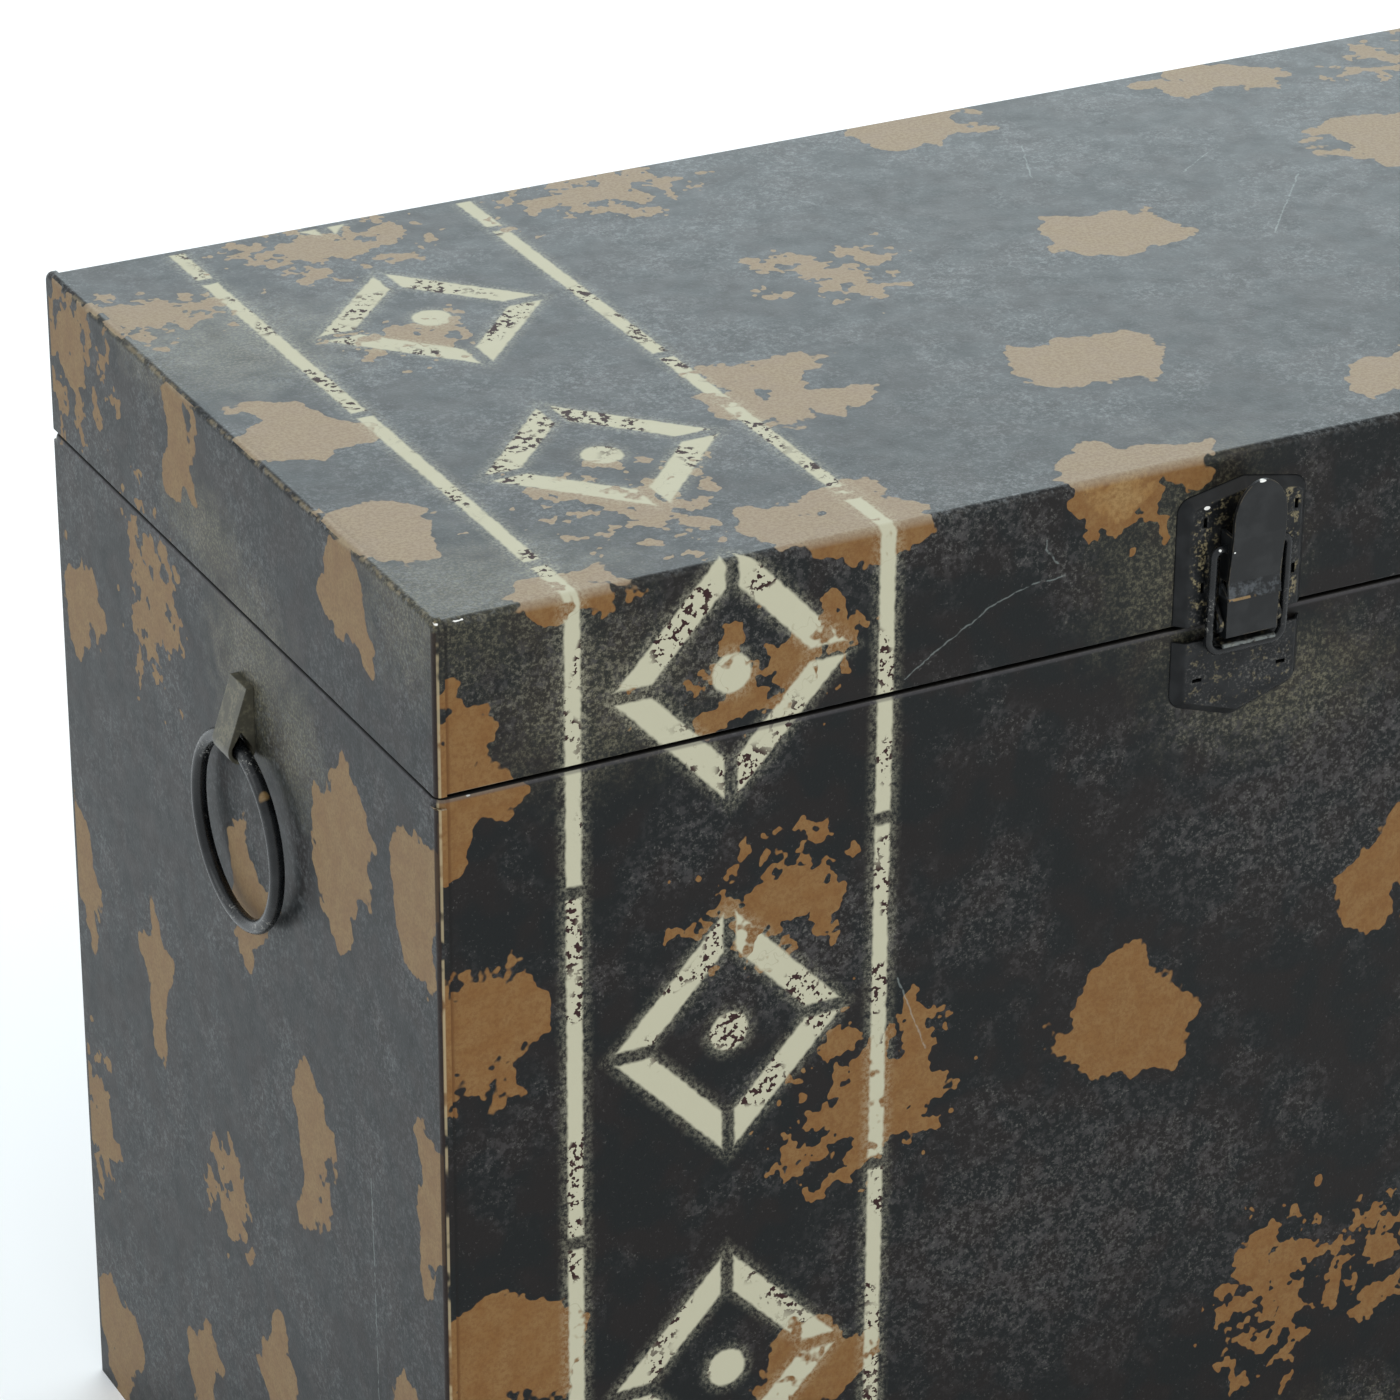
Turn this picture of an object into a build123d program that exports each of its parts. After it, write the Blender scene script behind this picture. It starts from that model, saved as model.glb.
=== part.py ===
"""Small tin trunk: folded sheet body and lid, draw latch, ring handles and two stop hinges.

Millimetres. The origin is the centre of the underside. X runs along the length, -Y is the
latch side, +Y the hinge side and +Z is up.
"""
from build123d import *
from math import atan2, cos, degrees, hypot, radians, sin, sqrt
import os

# ---------------------------------------------------------------- body and lid
length = 418.0              # over the two end panels
depth = 230.0               # over the folded lips of the end panels
height = 327.0              # underside to the lips on the lid
lid_height = 43.0           # lid rim to the lips on the lid
sheet = 0.7                 # every panel
fold_radius = 2.0           # outside radius of the folds in the two wraps
lip_width = 2.6             # how far an end panel's lip reaches over the wrap
corner_radius = 1.6         # outside radius between an end panel and its lips
corner_gap = 0.9            # wrap's edge to the end panel, left for the lip's bend
foot_flange = 6.0           # end panel's flange on top of the floor
hem_height = 5.0            # doubled sheet inside the lid's rim
hem_rounding = 0.4          # rounding of the fold at the lid's rim

# ---------------------------------------------------------------- rim between the two
rim_gap = 0.8               # lid rim to the bead it closes on
bead_height = 2.4           # rolled bead on top of the body walls
bead_radius = 1.1           # rounding of that bead
bead_corner = 3.0           # plan radius of the bead at the four corners
collar_rise = 10.8          # upstand inside the closed lid
collar_skirt = 6.5          # band inside the body walls, below the bead
collar_clearance = 1.0      # upstand to the lid's hem, all round
collar_corner = 2.5         # plan radius of the upstand

# ---------------------------------------------------------------- latch plates
plate_width = 35.8          # both pressed plates, at the panel
plate_rise = 2.6            # pressed face above the panel
plate_bevel = 2.4           # sloping border of the pressing
plate_sheet = 0.8
plate_edge_radius = 0.9     # rounding where the face meets its sloping border
plate_shoulder = 32.3       # lid rim to the upper plate's corners
plate_peak = 35.8           # lid rim to the upper plate's peak
plate_edge = 0.4            # lid rim to the upper plate's straight edge
plate_corner = 4.0          # plan radius of the upper plate's corners
strike_edge = 3.1           # top of the bead down to the lower plate's straight edge
strike_shoulder = 20.1      # top of the bead down to the lower plate's corners
strike_peak = 26.0          # top of the bead down to the lower plate's peak
strike_corner = 4.5         # plan radius of the lower plate's corners
slot_length = 2.6           # slots left where the fixing tangs are bent in
slot_width = 1.0
tang_thickness = 0.8
tang_foot = 4.0             # clenched end of a tang inside the panel
tang_clearance = 0.1
lid_tangs = (9.9, 26.7)     # heights of the upper plate's two rows of tangs over the lid rim
lid_tang_shift = 1.2        # middle of those slots to the right of the centre line
lid_tang_spread = 12.6      # that middle to each slot
strike_tang_drop = 13.4     # top of the bead down to the lower plate's tangs
strike_tang_spread = 11.7

# ---------------------------------------------------------------- latch lever and bail
lever_width = 14.4          # tongue
foot_width = 14.2           # foot and sides, narrower than the tongue that laps over them
lever_sheet = 0.9           # tongue and the front of the foot
flange_sheet = 0.9          # the lever's two sides
lever_pivot = (4.6, 0.8)    # out from the panel, up from the lid rim
lever_pin_diameter = 1.8
pin_clearance = 0.05        # radial, in every hole that turns on a pin
seat_clearance = 0.03       # radial, in every hole that holds a pin still
heel_radius = 3.9           # rounded end of the foot about its pivot
heel_clearance = 0.6        # round the heel, in the plate's notch
foot_low = -2.5             # bottom of the foot, up from the lid rim
foot_front = 7.1            # face of the foot out from the panel
lever_back = 3.0            # back edge of the lever's sides
lip = (8.0, 7.5)            # tongue's lower edge over the foot: out from the panel, up from the rim
crook = (7.2, 12.0)         # where the tongue starts to lean out, in the same way
lean = (8.6, 24.0)          # where it straightens again
tongue_tip = (9.0, 38.1)
tongue_straight = 28.0      # height over the lid rim where the tongue starts to round off
notch_depth = 3.5           # gap in each side behind the lip, from the foot's face inwards
notch_drop = 3.0            # how much higher that gap's lower side is at its inner end
flange_top = 24.5           # top of the lever's sides
ear_thickness = 1.0
ear_gap = 0.3               # lever to each ear
ear_radius = 2.1
ear_root = 6.5              # height of an ear where it leaves the plate
pin_head = 0.4
pin_head_radius = 1.5
bail_wire = 2.1
bail_pivot = (5.2, 20.3)    # out from the panel, up from the lid rim
bail_bar = (4.5, -6.4)      # the same for the bar that the hook holds
bail_reach = 10.3           # centre line to the middle of each limb
bail_end = 5.9              # centre line to each turned-in end
bail_bend = 3.2             # centre radius of the lower bends
bail_top_bend = 1.8         # centre radius where the ends turn in
hook_width = 14.4
hook_clearance = 0.15       # over the bar
hook_thickness = 0.95
hook_reach = 6.6            # out from the panel
hook_rounding = 0.4

# ---------------------------------------------------------------- ring handles
ring_radius = 23.7          # to the middle of the wire
ring_wire = 3.8
ring_drop = 33.0            # top of the bead down to the wire's middle at the ring's top
handle_offset = -7.5        # handles sit this far from mid-depth
strap_width = 9.6
strap_sheet = 0.95
strap_clearance = 0.2
strap_rise = 16.1           # ring's top wire up to the slot that the strap's tails go through
strap_tail = 6.5            # each tail, clenched inside the panel
strap_slot_clearance = 0.1
strap_pinch = 9.5           # ring's top wire up to where the strap lies flat on the panel
strap_loop_top = 4.6        # ring's top wire up to the end of the loop that it turns in

# ---------------------------------------------------------------- hinges
hinge_spread = 125.0        # centre line to the middle of each hinge
hinge_width = 30.0
leaf_height = 20.0          # plate above or below the knuckle
leaf_sheet = 1.0
leaf_corner = 2.0           # plan radius of the leaves' free corners
leaf_start = 2.3            # pin's axis to the plate's edge
knuckle_radius = 2.4
knuckle_standoff = 0.2      # knuckle to the panel
knuckle_gap = 0.3           # between neighbouring knuckles
hinge_pin_diameter = 2.4
hinge_pin_head = 0.6
hinge_pin_head_radius = 1.9
rib_reach = 5.2             # stop ribs, from the pin's axis
rib_thickness = 1.2
rib_angle = 69.0            # stop ribs, either side of straight out
rib_clearance = 0.3         # lid's rib over the body's knuckles
rivet_diameter = 3.0
rivet_head_radius = 2.7
rivet_head_rise = 1.1
rivet_tail_radius = 2.3
rivet_tail_rise = 0.8
rivet_spacing = 18.0
rivet_drop = 13.0           # pin's axis to the row of rivets

# ---------------------------------------------------------------- worked out from the above
half_length = length / 2
half_depth = depth / 2
face = half_depth - sheet               # front and back panels
end_inside = half_length - sheet        # inner side of the end panels
wrap_half = end_inside - corner_gap     # half the length of the two wraps
lid_rim = height - lid_height
body_top = lid_rim - rim_gap            # top of the bead
wall_top = body_top - bead_height       # top of the body walls
lid_face = height - sheet               # top panel
tray_radius = fold_radius + sheet       # lips, where they follow a fold
hem_inside_y = face - 2 * sheet
hem_inside_x = end_inside - sheet
collar_half_y = hem_inside_y - collar_clearance
collar_half_x = hem_inside_x - collar_clearance
hem_middle = face - 1.5 * sheet         # middle of the doubled sheet inside the lid's rim

# Sections: the first axis points out of the panel, the second one up.
front_section = Plane(origin=(0, -face, 0), x_dir=(0, -1, 0), z_dir=(-1, 0, 0))
back_section = Plane(origin=(0, face, 0), x_dir=(0, 1, 0), z_dir=(1, 0, 0))
left_section = Plane(
    origin=(-half_length, handle_offset, 0), x_dir=(-1, 0, 0), z_dir=(0, 1, 0)
)
# The front panel seen from outside: X, then up.
front_view = Plane(origin=(0, -face, 0), x_dir=(1, 0, 0), z_dir=(0, -1, 0))


def finish(builder, name):
    """Label a finished piece and write it."""
    builder.part.label = name
    export_step(builder.part, f"parts/{name}.step")


def mirrored(builder, plane=Plane.YZ):
    """The same piece on the other side."""
    with BuildPart() as twin:
        add(mirror(builder.part, about=plane, mode=Mode.PRIVATE))
    return twin


def round_ended(width, tall, radius):
    """Rectangle standing on the sketch's origin, with its two lower corners rounded."""
    with BuildSketch() as shape:
        Rectangle(width, tall, align=(Align.CENTER, Align.MIN))
        fillet(shape.vertices().group_by(Axis.Y)[0], radius)
    return shape.sketch


def frame_band(half_x, half_y, corner, thickness, low, high):
    """Closed rectangular band of sheet, standing between two heights."""
    with BuildPart() as band:
        with BuildSketch(Plane.XY.offset(low)):
            RectangleRounded(2 * half_x, 2 * half_y, corner)
            RectangleRounded(
                2 * (half_x - thickness), 2 * (half_y - thickness), corner - thickness,
                mode=Mode.SUBTRACT,
            )
        extrude(amount=high - low)
    return band.part


def stamped(places, across, start, thin, tall, low, high):
    """Upright blocks at a plate's slots, from low to high out of the panel.

    across is the direction, (1, 0) or (0, -1), from a slot to its tang; a block starts that
    far across from the slot's middle, and is thin that way and tall the other way.
    """
    upright = across[1] == 0
    middles = [
        (x + across[0] * (start + thin / 2), z + across[1] * (start + thin / 2)) for x, z in places
    ]
    with BuildPart() as blocks:
        with BuildSketch(front_view.offset(low)):
            with Locations(*middles):
                Rectangle(*((thin, tall) if upright else (tall, thin)))
        extrude(amount=high - low)
    return blocks.part


def slots(places, across):
    """Cutters for the slots in a plate's face."""
    return stamped(places, across, -slot_width / 2, slot_width, slot_length, 0, plate_rise)


def slits(places, across):
    """Cutters for the slits in the panel that a plate's tangs go through."""
    start = slot_width / 2 - tang_clearance
    wide = tang_thickness + 2 * tang_clearance
    return stamped(places, across, start, wide, slot_length, -2 * sheet, 0)


def tangs(places, across):
    """A plate's tangs: struck from the slots, through the panel and clenched behind it."""
    tall = slot_length - 2 * tang_clearance
    behind = -sheet - tang_thickness
    face_inside = plate_rise - plate_sheet
    with BuildPart() as struck:
        add(stamped(places, across, slot_width / 2, tang_thickness, tall, behind, face_inside))
        add(stamped(places, across, slot_width / 2, tang_foot, tall, behind, -sheet))
    return struck.part


os.makedirs("parts", exist_ok=True)

# ================================================================ positions that pieces share
ring_top = body_top - ring_drop         # middle of the ring's wire at its highest
strap_top = ring_top + strap_rise
lid_slots = [
    (lid_tang_shift + side * lid_tang_spread, lid_rim + z) for z in lid_tangs for side in (-1, 1)
]
strike_slots = [(x, body_top - strike_tang_drop) for x in (-strike_tang_spread, strike_tang_spread)]
lid_tang_side = (1, 0)                  # each tang is to the right of its slot
strike_tang_side = (0, -1)              # each tang is below its slot
hinge_axis = (knuckle_standoff + knuckle_radius, (lid_rim + body_top) / 2)
rivet_places = [
    (sign * hinge_spread + side * rivet_spacing / 2)
    for sign in (-1, 1) for side in (-1, 1)
]
lever_axis = (lever_pivot[0], lid_rim + lever_pivot[1])
bail_axis = (bail_pivot[0], lid_rim + bail_pivot[1])
bar_place = (bail_bar[0], lid_rim + bail_bar[1])
strap_sag = ring_radius - sqrt(ring_radius**2 - (strap_width / 2) ** 2)
strap_bore = ring_wire / 2 + strap_sag + strap_clearance
strap_radius = strap_bore + strap_sheet
ring_plane = strap_radius               # ring's middle, out from the end panel
strap_slot = 2 * (strap_sheet + strap_slot_clearance)

# ================================================================ body: front, floor and back
with BuildPart() as base_wrap:
    with BuildSketch(Plane.YZ):
        add(round_ended(2 * face, wall_top, fold_radius))
        with Locations((0, sheet)):
            add(
                round_ended(2 * (face - sheet), wall_top, fold_radius - sheet),
                mode=Mode.SUBTRACT,
            )
    extrude(amount=wrap_half, both=True)
    add(slits(strike_slots, strike_tang_side), mode=Mode.SUBTRACT)
    # rivet holes for the hinges
    with BuildSketch(Plane.XZ.offset(-face)):
        with Locations(*[(x, hinge_axis[1] - rivet_drop) for x in rivet_places]):
            Circle(rivet_diameter / 2 + seat_clearance)
    extrude(amount=2 * sheet, mode=Mode.SUBTRACT)
finish(base_wrap, "base_wrap")

# ================================================================ body: end panels with lips
with BuildPart() as base_left_end:
    with BuildSketch(Plane.YZ.offset(-half_length)):
        Rectangle(depth, wall_top, align=(Align.CENTER, Align.MIN))
    extrude(amount=lip_width)
    outer = base_left_end.faces().sort_by(Axis.X)[0]
    fillet(outer.edges().filter_by(Axis.Z), corner_radius)
    with BuildSketch(Plane.YZ.offset(-end_inside)):
        Rectangle(2 * face, wall_top, align=(Align.CENTER, Align.MIN))
    hollow = extrude(amount=lip_width, mode=Mode.PRIVATE)
    bends = hollow.edges().filter_by(Axis.Z).group_by(Axis.X)[0]
    add(hollow.fillet(corner_radius - sheet, bends), mode=Mode.SUBTRACT)
    with BuildSketch(Plane.YZ.offset(-end_inside)):
        with Locations((0, sheet)):
            Rectangle(2 * (face - 2 * fold_radius), sheet, align=(Align.CENTER, Align.MIN))
    extrude(amount=foot_flange)
    # slot for the ring's strap
    with BuildSketch(Plane.YZ.offset(-half_length)):
        with Locations((handle_offset, strap_top - strap_slot / 2)):
            Rectangle(strap_width + 2 * strap_slot_clearance, strap_slot)
    extrude(amount=2 * sheet, mode=Mode.SUBTRACT)
finish(base_left_end, "base_left_end")
base_right_end = mirrored(base_left_end)
finish(base_right_end, "base_right_end")

# ================================================================ body: bead and upstand
with BuildPart() as base_collar:
    add(frame_band(collar_half_x, collar_half_y, collar_corner, sheet, wall_top,
                   body_top + collar_rise))
    add(frame_band(end_inside, face - sheet, collar_corner, sheet, wall_top - collar_skirt,
                   wall_top))
    with BuildSketch(Plane.XY.offset(wall_top)):
        RectangleRounded(length, 2 * face, bead_corner)
        RectangleRounded(
            2 * (collar_half_x - sheet), 2 * (collar_half_y - sheet), collar_corner - sheet,
            mode=Mode.SUBTRACT,
        )
    extrude(amount=bead_height)
    bead_top = base_collar.faces().filter_by(Axis.Z).group_by(Axis.Z)[-2][0]
    fillet(bead_top.outer_wire().edges(), bead_radius)
finish(base_collar, "base_collar")

# ================================================================ lid: front, top and back
with BuildPart() as lid_wrap:
    with BuildSketch(Plane.YZ):
        with Locations((0, lid_face)):
            add(round_ended(2 * face, lid_face - lid_rim, fold_radius), rotation=180)
        with Locations((0, lid_face - sheet)):
            add(
                round_ended(2 * (face - sheet), lid_face - lid_rim, fold_radius - sheet),
                rotation=180, mode=Mode.SUBTRACT,
            )
        with Locations(
            (hem_middle, lid_rim + hem_height / 2),
            (-hem_middle, lid_rim + hem_height / 2),
        ):
            Rectangle(sheet, hem_height)
    extrude(amount=wrap_half, both=True)
    rim_edges = lid_wrap.edges().filter_by(Axis.X).group_by(Axis.Z)[0]
    fillet(rim_edges, hem_rounding)
    add(slits(lid_slots, lid_tang_side), mode=Mode.SUBTRACT)
    with BuildSketch(Plane.XZ.offset(-face)):
        with Locations(*[(x, hinge_axis[1] + rivet_drop) for x in rivet_places]):
            Circle(rivet_diameter / 2 + seat_clearance)
    extrude(amount=2 * sheet, mode=Mode.SUBTRACT)
finish(lid_wrap, "lid_wrap")

# ================================================================ lid: end panels with lips
with BuildPart() as lid_left_end:
    with BuildSketch(Plane.YZ.offset(-half_length)):
        with Locations((0, height)):
            add(round_ended(depth, lid_height, tray_radius), rotation=180)
    extrude(amount=lip_width)
    outer = lid_left_end.faces().sort_by(Axis.X)[0]
    fillet(outer.edges().sort_by(Axis.Z)[1:], corner_radius)
    with BuildSketch(Plane.YZ.offset(-end_inside)):
        with Locations((0, lid_face)):
            add(round_ended(2 * face, lid_height, fold_radius), rotation=180)
    hollow = extrude(amount=lip_width, mode=Mode.PRIVATE)
    bends = hollow.faces().sort_by(Axis.X)[0].edges().sort_by(Axis.Z)[1:]
    add(hollow.fillet(corner_radius - sheet, bends), mode=Mode.SUBTRACT)
    with BuildSketch(Plane.YZ.offset(-end_inside)):
        with Locations((0, lid_rim)):
            Rectangle(2 * hem_inside_y, hem_height, align=(Align.CENTER, Align.MIN))
    extrude(amount=sheet)
finish(lid_left_end, "lid_left_end")
lid_right_end = mirrored(lid_left_end)
finish(lid_right_end, "lid_right_end")


# ================================================================ latch plates
def plate_outline(straight, shoulder, peak, corner, inset=0.0):
    """House-shaped outline of a pressed plate, with its peak up or down."""
    way = 1 if peak > straight else -1
    side = plate_width / 2 - inset
    with BuildSketch() as shape:
        with BuildLine():
            Polyline(
                (-side, straight),
                (side, straight),
                (side, shoulder - way * inset),
                (0, peak - way * inset),
                (-side, shoulder - way * inset),
                close=True,
            )
        make_face()
        rows = shape.vertices().group_by(Axis.Y)
        tips = rows[1] + rows[2] if way > 0 else rows[0] + rows[1]
        fillet(tips, corner)
    return shape.sketch


def pressed_plate(straight, shoulder, peak, corner):
    """Hollow pressing on the front panel, sloping at its border and open at its straight edge."""
    way = 1 if peak > straight else -1
    run_out = straight - way * 2 * plate_bevel
    slope = degrees(atan2(plate_bevel, plate_rise))
    inset = plate_sheet
    with BuildPart() as plate:
        with BuildSketch(front_view):
            add(plate_outline(run_out, shoulder, peak, corner))
        extrude(amount=plate_rise, taper=slope)
        fillet(plate.faces().sort_by(Axis.Y)[0].edges(), plate_edge_radius)
        with BuildSketch(front_view):
            add(plate_outline(run_out, shoulder, peak, corner, inset))
        extrude(amount=plate_rise - plate_sheet, taper=slope, mode=Mode.SUBTRACT)
        with BuildSketch(front_view):
            with Locations((0, straight - way * 2 * plate_bevel)):
                Rectangle(2 * plate_width, 4 * plate_bevel)
        extrude(amount=plate_rise, mode=Mode.SUBTRACT)
    return plate.part


ear_inside = lever_width / 2 + ear_gap

with BuildPart() as latch_plate:
    add(pressed_plate(lid_rim + plate_edge, lid_rim + plate_shoulder, lid_rim + plate_peak,
                      plate_corner))
    # notch that the lever's heel turns in
    with BuildSketch(front_view):
        with Locations((0, lid_rim)):
            Rectangle(
                2 * ear_inside, lever_pivot[1] + heel_radius + heel_clearance,
                align=(Align.CENTER, Align.MIN),
            )
    extrude(amount=plate_rise, mode=Mode.SUBTRACT)
    # two ears, bent out of the plate beside the notch
    with BuildSketch(front_section.offset(ear_inside)) as ear:
        with Locations(lever_axis):
            Circle(ear_radius)
        with Locations((plate_rise - plate_sheet, lid_rim + plate_edge)):
            Rectangle(plate_sheet, ear_root, align=(Align.MIN, Align.MIN))
        make_hull(ear.edges())
        with Locations(lever_axis):
            Circle(lever_pin_diameter / 2 + seat_clearance, mode=Mode.SUBTRACT)
    left_ear = extrude(amount=ear_thickness)
    mirror(left_ear, about=Plane.YZ)
    add(slots(lid_slots, lid_tang_side), mode=Mode.SUBTRACT)
    add(tangs(lid_slots, lid_tang_side))
finish(latch_plate, "latch_plate")

hook_low = bar_place[1] + bail_wire / 2 + hook_clearance

with BuildPart() as strike_plate:
    add(pressed_plate(body_top - strike_edge, body_top - strike_shoulder,
                      body_top - strike_peak, strike_corner))
    # hook over the bail's bar
    with BuildSketch(front_section) as hook:
        with Locations((plate_rise - plate_sheet, hook_low)):
            Rectangle(
                hook_reach - plate_rise + plate_sheet, hook_thickness,
                align=(Align.MIN, Align.MIN),
            )
        fillet(hook.vertices().group_by(Axis.X)[-1], hook_rounding)
    extrude(amount=hook_width / 2, both=True)
    add(slots(strike_slots, strike_tang_side), mode=Mode.SUBTRACT)
    add(tangs(strike_slots, strike_tang_side))
finish(strike_plate, "strike_plate")

# ================================================================ latch lever, its pin and bail
foot_bottom = lid_rim + foot_low


def tongue_line(behind):
    """The tongue's side view from its lip to its tip, this far behind its face."""
    return [(out - behind, lid_rim + up) for out, up in (lip, crook, lean, tongue_tip)]


with BuildPart() as latch_lever:
    # foot and sides, folded from one sheet and open at the back
    with BuildSketch(front_section):
        with BuildLine():
            Polyline(
                (foot_front, foot_bottom),
                (foot_front, lid_rim + lip[1]),
                *tongue_line(lever_sheet)[1:3],
                (lever_back, lid_rim + flange_top),
                (lever_back, foot_bottom),
                close=True,
            )
        make_face()
    extrude(amount=foot_width / 2, both=True)
    with BuildSketch(front_section):
        with Locations((0, foot_bottom)):
            Rectangle(foot_front - lever_sheet, tongue_tip[1], align=(Align.MIN, Align.MIN))
    extrude(amount=foot_width / 2 - flange_sheet, both=True, mode=Mode.SUBTRACT)
    # gap in the sides behind the lip
    with BuildSketch(front_section):
        with BuildLine():
            Polyline(
                (lip[0], lid_rim + lip[1]),
                (foot_front - notch_depth, lid_rim + lip[1] + notch_drop),
                (foot_front - notch_depth, lid_rim + crook[1]),
                (lip[0], lid_rim + crook[1]),
                close=True,
            )
        make_face()
    extrude(amount=foot_width, both=True, mode=Mode.SUBTRACT)
    # tongue, lapping over the foot
    with BuildSketch(front_section):
        with BuildLine():
            Polyline(*tongue_line(0), *reversed(tongue_line(lever_sheet)), close=True)
        make_face()
    extrude(amount=lever_width / 2, both=True)
    # the tongue's rounded tip
    with BuildSketch(front_view):
        with Locations((0, lid_rim + tongue_straight)):
            Ellipse(lever_width / 2, tongue_tip[1] - tongue_straight)
            Rectangle(lever_width, tongue_tip[1], align=(Align.CENTER, Align.MAX))
    extrude(amount=2 * tongue_tip[0], mode=Mode.INTERSECT)
    # heel, rounded about the pivot
    with BuildSketch(front_section):
        with Locations(lever_axis):
            Rectangle(4 * heel_radius, 2 * heel_radius, align=(Align.CENTER, Align.MAX))
            Circle(heel_radius, mode=Mode.SUBTRACT)
    extrude(amount=lever_width, both=True, mode=Mode.SUBTRACT)
    with BuildSketch(front_section):
        with Locations(lever_axis):
            Circle(lever_pin_diameter / 2 + pin_clearance)
        with Locations(bail_axis):
            Circle(bail_wire / 2 + pin_clearance)
    extrude(amount=lever_width, both=True, mode=Mode.SUBTRACT)
finish(latch_lever, "latch_lever")

with BuildPart() as latch_pin:
    with BuildSketch(front_section):
        with Locations(lever_axis):
            Circle(lever_pin_diameter / 2)
    extrude(amount=ear_inside + ear_thickness, both=True)
    with BuildSketch(front_section.offset(ear_inside + ear_thickness)):
        with Locations(lever_axis):
            Circle(pin_head_radius)
    left_head = extrude(amount=pin_head)
    mirror(left_head, about=Plane.YZ)
finish(latch_pin, "latch_pin")

bail_lean = (bail_axis[0] - bar_place[0], bail_axis[1] - bar_place[1])
bail_span = hypot(*bail_lean)
bail_plane = Plane(
    origin=(0, -face - bar_place[0], bar_place[1]),
    x_dir=(1, 0, 0),
    z_dir=(0, -bail_lean[1], -bail_lean[0]),
)

with BuildPart() as latch_bail:
    with BuildLine(bail_plane) as bail_path:
        FilletPolyline(
            (-bail_end, bail_span),
            (-bail_reach, bail_span),
            (-bail_reach, 0),
            (bail_reach, 0),
            (bail_reach, bail_span),
            (bail_end, bail_span),
            radius=[bail_top_bend, bail_bend, bail_bend, bail_top_bend],
        )
    with BuildSketch(Plane(origin=bail_path.wire() @ 0, z_dir=bail_path.wire() % 0)):
        Circle(bail_wire / 2)
    sweep()
finish(latch_bail, "latch_bail")

# ================================================================ ring handles and their straps
tail_top = strap_top - strap_slot_clearance


def strap_loop():
    """The loop that the ring turns in, narrowing to where the strap is pinched shut."""
    with BuildSketch() as loop:
        with Locations((ring_plane, ring_top)):
            Circle(strap_bore)
        with Locations((ring_plane, ring_top + strap_loop_top)):
            Circle(strap_clearance)
        make_hull(loop.edges())
    return loop.sketch


with BuildPart() as left_ring_strap:
    with BuildSketch(left_section) as strap:
        with Locations((ring_plane, ring_top)):
            Circle(strap_radius)
        with Locations((0, ring_top + strap_pinch)):
            Rectangle(
                2 * strap_sheet, tail_top - ring_top - strap_pinch,
                align=(Align.MIN, Align.MIN),
            )
        make_hull(strap.edges())
        add(strap_loop(), mode=Mode.SUBTRACT)
        # through the slot, then one tail up and one tail down inside the panel
        with Locations((-sheet - strap_sheet, tail_top)):
            Rectangle(sheet + strap_sheet, 2 * strap_sheet, align=(Align.MIN, Align.MAX))
        with Locations((-sheet - strap_sheet, tail_top - strap_sheet)):
            Rectangle(strap_sheet, 2 * (strap_tail + strap_sheet), align=(Align.MIN, Align.CENTER))
    extrude(amount=strap_width / 2, both=True)
finish(left_ring_strap, "left_ring_strap")
right_ring_strap = mirrored(left_ring_strap)
finish(right_ring_strap, "right_ring_strap")

with BuildPart() as left_ring:
    ring_middle = (-half_length - ring_plane, handle_offset, ring_top - ring_radius)
    with Locations(Location(ring_middle, (0, 90, 0))):
        Torus(ring_radius, ring_wire / 2)
finish(left_ring, "left_ring")
right_ring = mirrored(left_ring)
finish(right_ring, "right_ring")

# ================================================================ hinges
segment = (hinge_width - 2 * knuckle_gap) / 3
middle_segment = [0.0]
outer_segments = [-segment - knuckle_gap, segment + knuckle_gap]


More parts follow.
